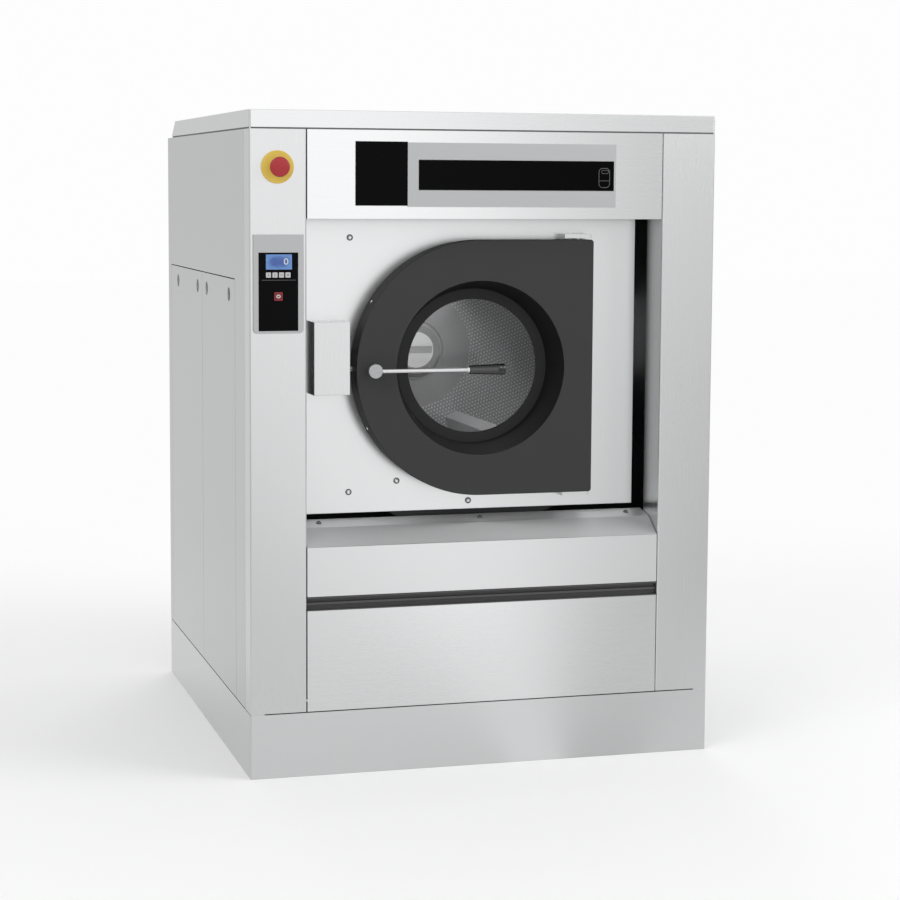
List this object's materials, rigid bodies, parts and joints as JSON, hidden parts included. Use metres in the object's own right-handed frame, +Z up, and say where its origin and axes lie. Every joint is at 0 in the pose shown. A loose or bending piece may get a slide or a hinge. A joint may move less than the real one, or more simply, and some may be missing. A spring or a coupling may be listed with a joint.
{
  "type": "washer-extractor",
  "caption": "Front-loading washer-extractor: steel cabinet on a plinth, sprung tub and drum, round-window door with a lever, keypad and emergency stop.",
  "frame": {"origin": "on the floor under the middle of the overall box", "axes": "+X to the right seen from the front, +Y to the rear, +Z up"},
  "size_m": [1.356, 1.545, 1.85],
  "materials": {
    "stainless": "satin",
    "galvanised": "satin",
    "frame_paint": "satin",
    "door_paint": "satin",
    "bright_steel": "polished",
    "drum_steel": "satin",
    "cast": "satin",
    "motor_alloy": "satin",
    "black_gloss": "gloss",
    "black_matte": "matte",
    "grey_plastic": "matte",
    "key_grey": "matte",
    "key_red": "satin",
    "stop_red": "satin",
    "stop_yellow": "satin",
    "display_blue": "gloss",
    "window_glass": "gloss",
    "seal_rubber": "matte",
    "valve_plastic": "matte",
    "brass_like": "satin"
  },
  "bodies": {
    "cabinet": {"base_frame": "frame_paint", "plinth": "stainless", "left_front_post": "stainless", "right_front_post": "stainless", "header_panel": "stainless", "sign_plate": "black_gloss", "dispenser_bezel": "grey_plastic", "dispenser_tray": "valve_plastic", "top_lid": "stainless", "left_side_panel": "stainless", "left_access_panel_front": "stainless", "left_access_panel_rear": "stainless", "right_side_panel": "stainless", "rear_panel": "galvanised", "water_inlets": "brass_like", "drain_outlet": "black_matte", "cable_gland": "black_matte", "ledge_panel": "stainless", "control_bezel": "grey_plastic", "keypad": "black_matte", "display_window": "display_blue", "estop_collar": "stop_yellow", "suspension_springs": "bright_steel", "damper_tubes": "frame_paint"},
    "service_panel": {"service_panel": "stainless", "grip_channel": "frame_paint"},
    "dispenser_flap": {"dispenser_flap": "black_gloss"},
    "key_1": {"key_1": "key_grey"},
    "key_2": {"key_2": "key_grey"},
    "key_3": {"key_3": "key_grey"},
    "key_4": {"key_4": "key_grey"},
    "stop_key": {"stop_key": "key_red"},
    "estop_stem": {"estop_stem": "bright_steel"},
    "estop_button": {"estop_button": "stop_red"},
    "quarter_turn_latch_1": {"quarter_turn_latch_1": "frame_paint"},
    "quarter_turn_latch_2": {"quarter_turn_latch_2": "frame_paint"},
    "quarter_turn_latch_3": {"quarter_turn_latch_3": "frame_paint"},
    "quarter_turn_latch_4": {"quarter_turn_latch_4": "frame_paint"},
    "wash_group": {"front_plate": "stainless", "plate_screws": "bright_steel", "lock_box": "stainless", "door_hinge": "stainless", "door_gasket": "seal_rubber", "tub": "stainless", "drain_valve": "valve_plastic", "bearing_housing": "cast", "motor": "motor_alloy", "drive_belts": "seal_rubber", "damper_rods": "bright_steel"},
    "door": {"door_cover": "door_paint", "door_pan": "door_paint", "door_glass": "window_glass"},
    "lever": {"door_handle": "bright_steel", "handle_grip": "black_matte"},
    "latch_bolt": {"latch_bolt": "bright_steel"},
    "drum": {"drum_shell": "drum_steel", "drum_lifters": "drum_steel", "drum_shaft": "bright_steel", "driven_pulley": "cast"},
    "motor_pulley": {"motor_pulley": "cast"}
  },
  "joints": [
    {"name": "suspension", "type": "slide", "parent": "cabinet", "child": "wash_group", "axis": [0, 0, 1], "range_m": [-0.012, 0.012], "stiffness_N_per_m": 145000, "springref_m": 0.03935, "deforming": ["suspension_springs"]},
    {"name": "door_hinge", "type": "hinge", "parent": "wash_group", "child": "door", "pos_m": [0.316, -0.6175, 1.132], "axis": [0, 0, 1], "range_deg": [0, 105]},
    {"name": "handle_turn", "type": "hinge", "parent": "door", "child": "lever", "pos_m": [-0.32, -0.7115, 1.132], "axis": [0, -1, 0], "range_deg": [0, 90]},
    {"name": "bolt_slide", "type": "slide", "parent": "door", "child": "latch_bolt", "axis": [-1, 0, 0], "range_m": [0, 0.02]},
    {"name": "drum_spin", "type": "hinge", "parent": "wash_group", "child": "drum", "pos_m": [0, 0.1375, 1.132], "axis": [0, 1, 0], "continuous": true},
    {"name": "motor_spin", "type": "hinge", "parent": "wash_group", "child": "motor_pulley", "pos_m": [0, 0.4025, 0.5], "axis": [0, 1, 0], "continuous": true},
    {"name": "service_panel_hinge", "type": "hinge", "parent": "cabinet", "child": "service_panel", "pos_m": [0, -0.7185, 0.213], "axis": [1, 0, 0], "range_deg": [0, 80]},
    {"name": "dispenser_flap_hinge", "type": "hinge", "parent": "cabinet", "child": "dispenser_flap", "pos_m": [0.0835, -0.7235, 1.6425], "axis": [1, 0, 0], "range_deg": [0, 80]},
    {"name": "key_1_press", "type": "slide", "parent": "cabinet", "child": "key_1", "axis": [0, 1, 0], "range_m": [0, 0.001], "stiffness_N_per_m": 900, "springref_m": -0.001},
    {"name": "key_2_press", "type": "slide", "parent": "cabinet", "child": "key_2", "axis": [0, 1, 0], "range_m": [0, 0.001], "stiffness_N_per_m": 900, "springref_m": -0.001},
    {"name": "key_3_press", "type": "slide", "parent": "cabinet", "child": "key_3", "axis": [0, 1, 0], "range_m": [0, 0.001], "stiffness_N_per_m": 900, "springref_m": -0.001},
    {"name": "key_4_press", "type": "slide", "parent": "cabinet", "child": "key_4", "axis": [0, 1, 0], "range_m": [0, 0.001], "stiffness_N_per_m": 900, "springref_m": -0.001},
    {"name": "stop_key_press", "type": "slide", "parent": "cabinet", "child": "stop_key", "axis": [0, 1, 0], "range_m": [0, 0.001], "stiffness_N_per_m": 900, "springref_m": -0.001},
    {"name": "estop_press", "type": "slide", "parent": "cabinet", "child": "estop_stem", "axis": [0, 1, 0], "range_m": [0, 0.006], "stiffness_N_per_m": 2500, "springref_m": -0.004},
    {"name": "estop_twist", "type": "hinge", "parent": "estop_stem", "child": "estop_button", "pos_m": [-0.6, -0.7575, 1.695], "axis": [0, -1, 0], "range_deg": [0, 30], "stiffness_Nm_per_rad": 0.4},
    {"name": "latch_1_turn", "type": "hinge", "parent": "cabinet", "child": "quarter_turn_latch_1", "pos_m": [-0.668, -0.4135, 1.335], "axis": [1, 0, 0], "range_deg": [0, 90]},
    {"name": "latch_2_turn", "type": "hinge", "parent": "cabinet", "child": "quarter_turn_latch_2", "pos_m": [-0.668, -0.0375, 1.335], "axis": [1, 0, 0], "range_deg": [0, 90]},
    {"name": "latch_3_turn", "type": "hinge", "parent": "cabinet", "child": "quarter_turn_latch_3", "pos_m": [-0.668, 0.1285, 1.335], "axis": [1, 0, 0], "range_deg": [0, 90]},
    {"name": "latch_4_turn", "type": "hinge", "parent": "cabinet", "child": "quarter_turn_latch_4", "pos_m": [-0.668, 0.5105, 1.335], "axis": [1, 0, 0], "range_deg": [0, 90]}
  ],
  "couplings": [
    {"joint": "bolt_slide", "follows": "handle_turn", "m_per_rad": 0.0127},
    {"joint": "motor_spin", "follows": "drum_spin", "ratio": 4.1557}
  ]
}
